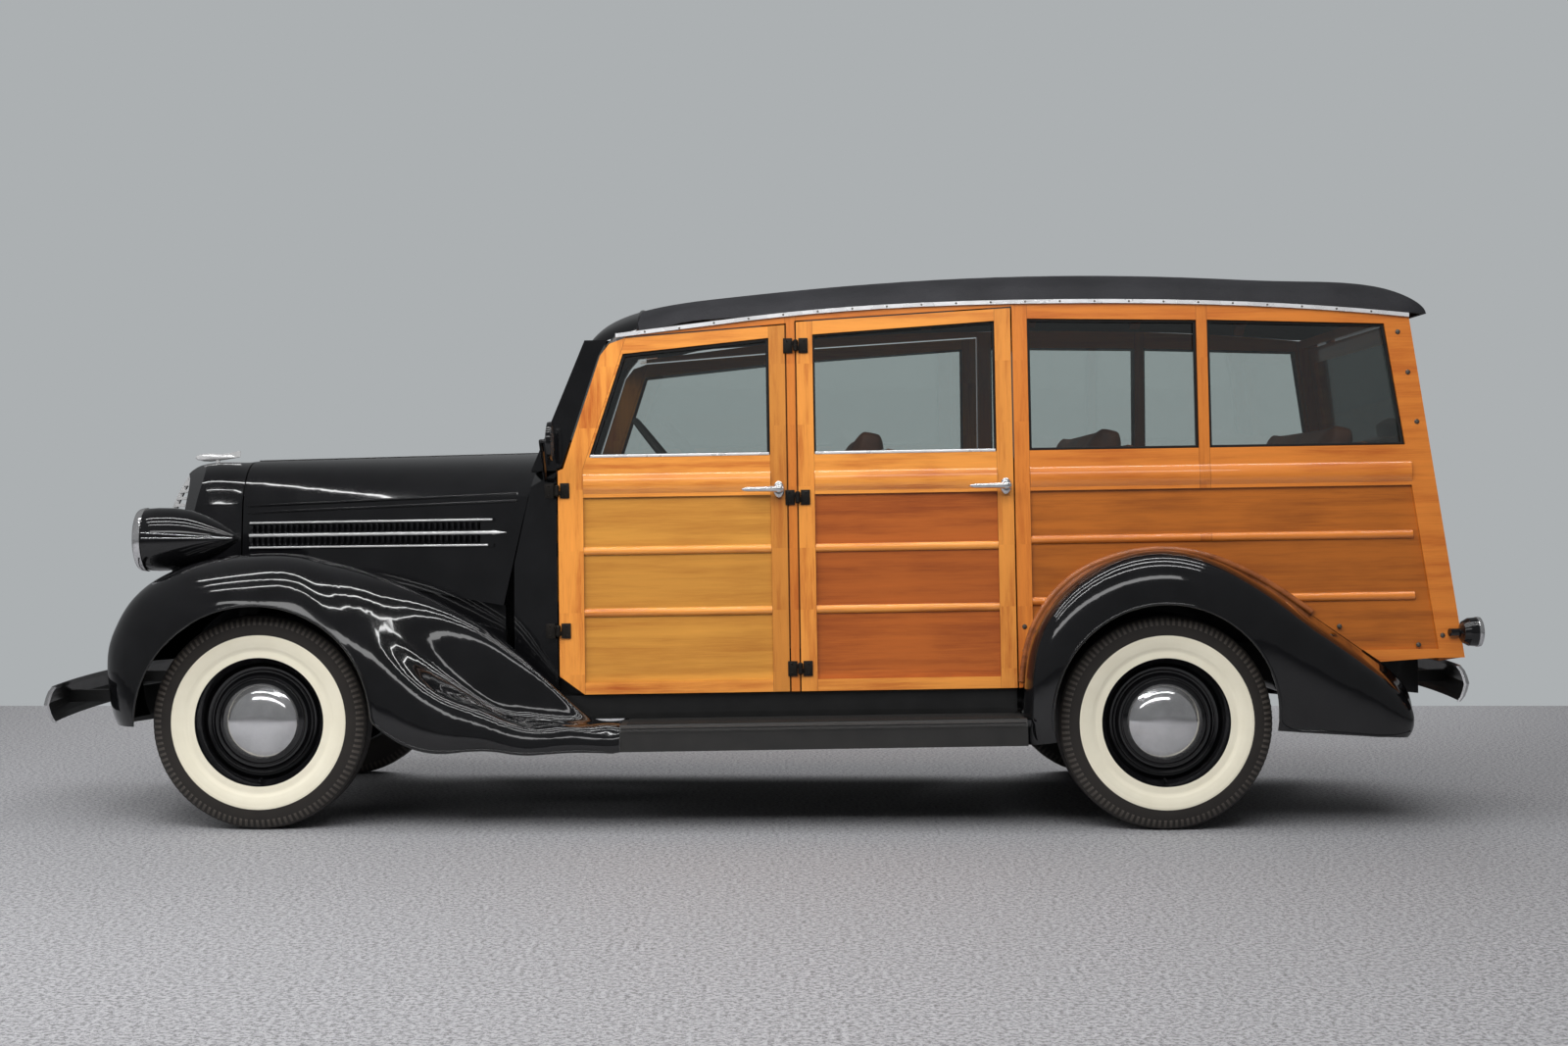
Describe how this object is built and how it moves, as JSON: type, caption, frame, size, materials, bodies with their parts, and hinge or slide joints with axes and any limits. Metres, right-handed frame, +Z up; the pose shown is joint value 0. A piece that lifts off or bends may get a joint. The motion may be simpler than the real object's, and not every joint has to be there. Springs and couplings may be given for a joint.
{
  "type": "wood-bodied station wagon",
  "caption": "Long-nosed station wagon with a framed wooden body, black steel fenders, whitewall tyres, side doors and a two-part rear gate; it carries people and bags.",
  "frame": {"origin": "on the ground below the middle of the overall length", "axes": "+X forward, +Y to the car's left side, +Z up"},
  "size_m": [4.7725, 1.7608, 1.8671],
  "materials": {
    "black_paint": "gloss",
    "bright_aluminium": "brushed",
    "canvas": "grained matt",
    "cast_metal": "rough",
    "chassis_black": "satin",
    "chrome": "polished",
    "clear_glass": "clear",
    "inner_wood": "matt",
    "leather": "satin",
    "ribbed_rubber": "ribbed",
    "steel": "dull",
    "tyre": "matt",
    "varnished_wood": "gloss varnish"
  },
  "bodies": {
    "body": {"front_axle": "chassis_black", "rear_axle": "chassis_black", "leaf_springs": "steel", "chassis_frame": "chassis_black", "engine": "cast_metal", "radiator": "cast_metal", "exhaust_system": "steel", "fuel_tank": "chassis_black", "floor": "chassis_black", "cowl": "black_paint", "hood_rails": "black_paint", "radiator_shell": "black_paint", "grille": "chrome", "front_fenders": "black_paint", "rear_fenders": "black_paint", "running_boards": "ribbed_rubber", "wheelhouses": "chassis_black", "body_sides": "varnished_wood", "fixed_glass": "clear_glass", "drip_mouldings": "bright_aluminium", "rear_frame": "varnished_wood", "roof": "canvas", "roof_bows": "inner_wood", "windshield_frame": "black_paint", "dashboard": "black_paint", "steering_column": "black_paint", "seat_frames": "inner_wood", "seat_cushions": "leather", "bumpers": "chrome", "headlamps": "black_paint", "headlamp_lenses": "clear_glass", "tail_lamps": "chrome", "side_mirror": "chrome", "hood_ornament": "chrome"},
    "hood_left": {"hood_left": "black_paint"},
    "door_front_left": {"door_front_left": "varnished_wood", "door_front_glass_left": "clear_glass"},
    "door_rear_left": {"door_rear_left": "varnished_wood", "door_rear_glass_left": "clear_glass"},
    "knuckle_left": {"knuckle_left": "chassis_black"},
    "hood_right": {"hood_right": "black_paint"},
    "door_front_right": {"door_front_right": "varnished_wood", "door_front_glass_right": "clear_glass"},
    "door_rear_right": {"door_rear_right": "varnished_wood", "door_rear_glass_right": "clear_glass"},
    "knuckle_right": {"knuckle_right": "chassis_black"},
    "wheel_front_left": {"wheel_front_left": "black_paint", "tyre_front_left": "tyre"},
    "wheel_front_right": {"wheel_front_right": "black_paint", "tyre_front_right": "tyre"},
    "wheel_rear_left": {"wheel_rear_left": "black_paint", "tyre_rear_left": "tyre"},
    "wheel_rear_right": {"wheel_rear_right": "black_paint", "tyre_rear_right": "tyre"},
    "tailgate": {"tailgate": "varnished_wood"},
    "liftgate": {"liftgate": "varnished_wood", "liftgate_glass": "clear_glass"},
    "steering_wheel": {"steering_wheel": "ribbed_rubber"}
  },
  "joints": [
    {"name": "steer_left", "type": "hinge", "parent": "body", "child": "knuckle_left", "pos_m": [1.623, 0.607, 0.35], "axis": [0, 0, 1], "range_deg": [-30, 30]},
    {"name": "steer_right", "type": "hinge", "parent": "body", "child": "knuckle_right", "pos_m": [1.623, -0.607, 0.35], "axis": [0, 0, 1], "range_deg": [-30, 30]},
    {"name": "roll_front_left", "type": "hinge", "parent": "knuckle_left", "child": "wheel_front_left", "pos_m": [1.623, 0.715, 0.35], "axis": [0, 1, 0], "continuous": true},
    {"name": "roll_front_right", "type": "hinge", "parent": "knuckle_right", "child": "wheel_front_right", "pos_m": [1.623, -0.715, 0.35], "axis": [0, 1, 0], "continuous": true},
    {"name": "roll_rear_left", "type": "hinge", "parent": "body", "child": "wheel_rear_left", "pos_m": [-1.323, 0.7265, 0.35], "axis": [0, 1, 0], "continuous": true},
    {"name": "roll_rear_right", "type": "hinge", "parent": "body", "child": "wheel_rear_right", "pos_m": [-1.323, -0.7265, 0.35], "axis": [0, 1, 0], "continuous": true},
    {"name": "open_door_front_left", "type": "hinge", "parent": "body", "child": "door_front_left", "pos_m": [0.66263, 0.67091, 0.63999], "axis": [-0.0157, 0.043, -0.999], "range_deg": [0, 65]},
    {"name": "open_door_front_right", "type": "hinge", "parent": "body", "child": "door_front_right", "pos_m": [0.66263, -0.67091, 0.63999], "axis": [0.0157, 0.043, 0.999], "range_deg": [0, 65]},
    {"name": "open_door_rear_left", "type": "hinge", "parent": "body", "child": "door_rear_left", "pos_m": [-0.1374, 0.67676, 0.51667], "axis": [-0.0157, 0.043, -0.999], "range_deg": [0, 65]},
    {"name": "open_door_rear_right", "type": "hinge", "parent": "body", "child": "door_rear_right", "pos_m": [-0.1374, -0.67676, 0.51667], "axis": [0.0157, 0.043, 0.999], "range_deg": [0, 65]},
    {"name": "open_hood_left", "type": "hinge", "parent": "body", "child": "hood_left", "pos_m": [0.74765, 0.007, 1.24524], "axis": [0.9996, 0, -0.0272], "range_deg": [0, 60]},
    {"name": "open_hood_right", "type": "hinge", "parent": "body", "child": "hood_right", "pos_m": [0.74765, -0.007, 1.24524], "axis": [-0.9996, 0, 0.0272], "range_deg": [0, 60]},
    {"name": "open_tailgate", "type": "hinge", "parent": "body", "child": "tailgate", "pos_m": [-2.34077, 0, 0.56185], "axis": [0, -1, 0], "range_deg": [0, 97]},
    {"name": "open_liftgate", "type": "hinge", "parent": "body", "child": "liftgate", "pos_m": [-2.17277, 0, 1.67423], "axis": [0, 1, 0], "range_deg": [0, 80]},
    {"name": "turn_steering_wheel", "type": "hinge", "parent": "body", "child": "steering_wheel", "pos_m": [0.29358, 0.33, 1.18053], "axis": [-0.7782, 0, 0.628], "range_deg": [-420, 420]}
  ],
  "couplings": [
    {"joint": "steer_right", "follows": "steer_left", "ratio": 1},
    {"joint": "turn_steering_wheel", "follows": "steer_left", "ratio": 14}
  ]
}
